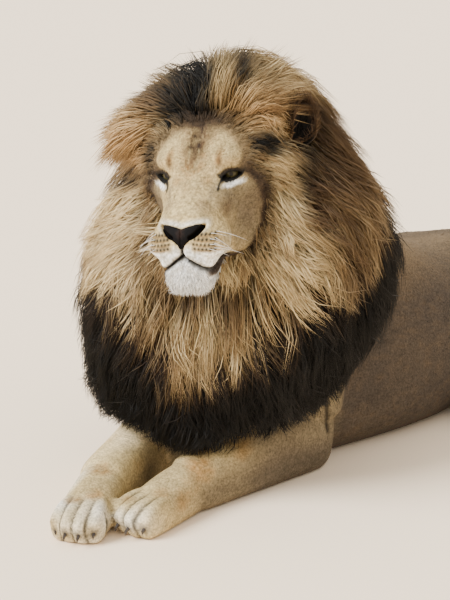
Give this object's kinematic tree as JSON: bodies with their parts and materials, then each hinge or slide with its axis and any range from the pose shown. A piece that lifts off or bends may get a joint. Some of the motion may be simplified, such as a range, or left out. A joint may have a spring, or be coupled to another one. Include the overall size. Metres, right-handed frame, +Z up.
{
  "type": "male lion, lying with raised head",
  "caption": "Life-size adult male lion lying on its chest, forepaws together in front, head raised and turned to its left, full two-tone mane.",
  "frame": {"origin": "on the floor, under the back of the chest, on the flat patch the chest and belly rest on, between the elbows", "axes": "+Z up; the body lies along Y with the chest and forepaws towards -Y and the tail towards +Y; the animal's left side is +X"},
  "size_m": [0.8473, 1.9811, 0.9327],
  "materials": {
    "coat_fur": "short dense fur",
    "face_fur": "very short fur",
    "chin_fur": "soft white fur",
    "mane_gold": "long hair in locks",
    "mane_black": "long dark hair",
    "nose_leather": "damp, finely pebbled",
    "eye": "wet gloss",
    "claw": "smooth horn"
  },
  "bodies": {
    "root": {"head": "face_fur", "lower_jaw": "chin_fur", "nose": "nose_leather", "eye_left": "eye", "eye_right": "eye", "ear_left": "face_fur", "ear_right": "face_fur", "neck": "coat_fur", "torso": "coat_fur", "foreleg_left": "coat_fur", "foreleg_right": "coat_fur", "forepaw_left": "coat_fur", "forepaw_right": "coat_fur", "hindleg_left": "coat_fur", "hindleg_right": "coat_fur", "hindpaw_left": "coat_fur", "hindpaw_right": "coat_fur", "forepaw_left_claw_1": "claw", "forepaw_left_claw_2": "claw", "forepaw_left_claw_3": "claw", "forepaw_left_claw_4": "claw", "forepaw_right_claw_1": "claw", "forepaw_right_claw_2": "claw", "forepaw_right_claw_3": "claw", "forepaw_right_claw_4": "claw", "hindpaw_left_claw_1": "claw", "hindpaw_left_claw_2": "claw", "hindpaw_left_claw_3": "claw", "hindpaw_left_claw_4": "claw", "hindpaw_right_claw_1": "claw", "hindpaw_right_claw_2": "claw", "hindpaw_right_claw_3": "claw", "hindpaw_right_claw_4": "claw", "tail_base": "coat_fur", "tail_middle": "coat_fur", "tail_end": "coat_fur", "tail_tuft": "mane_black", "mane_crest": "mane_gold", "mane_left": "mane_gold", "mane_right": "mane_gold"}
  },
  "joints": []
}
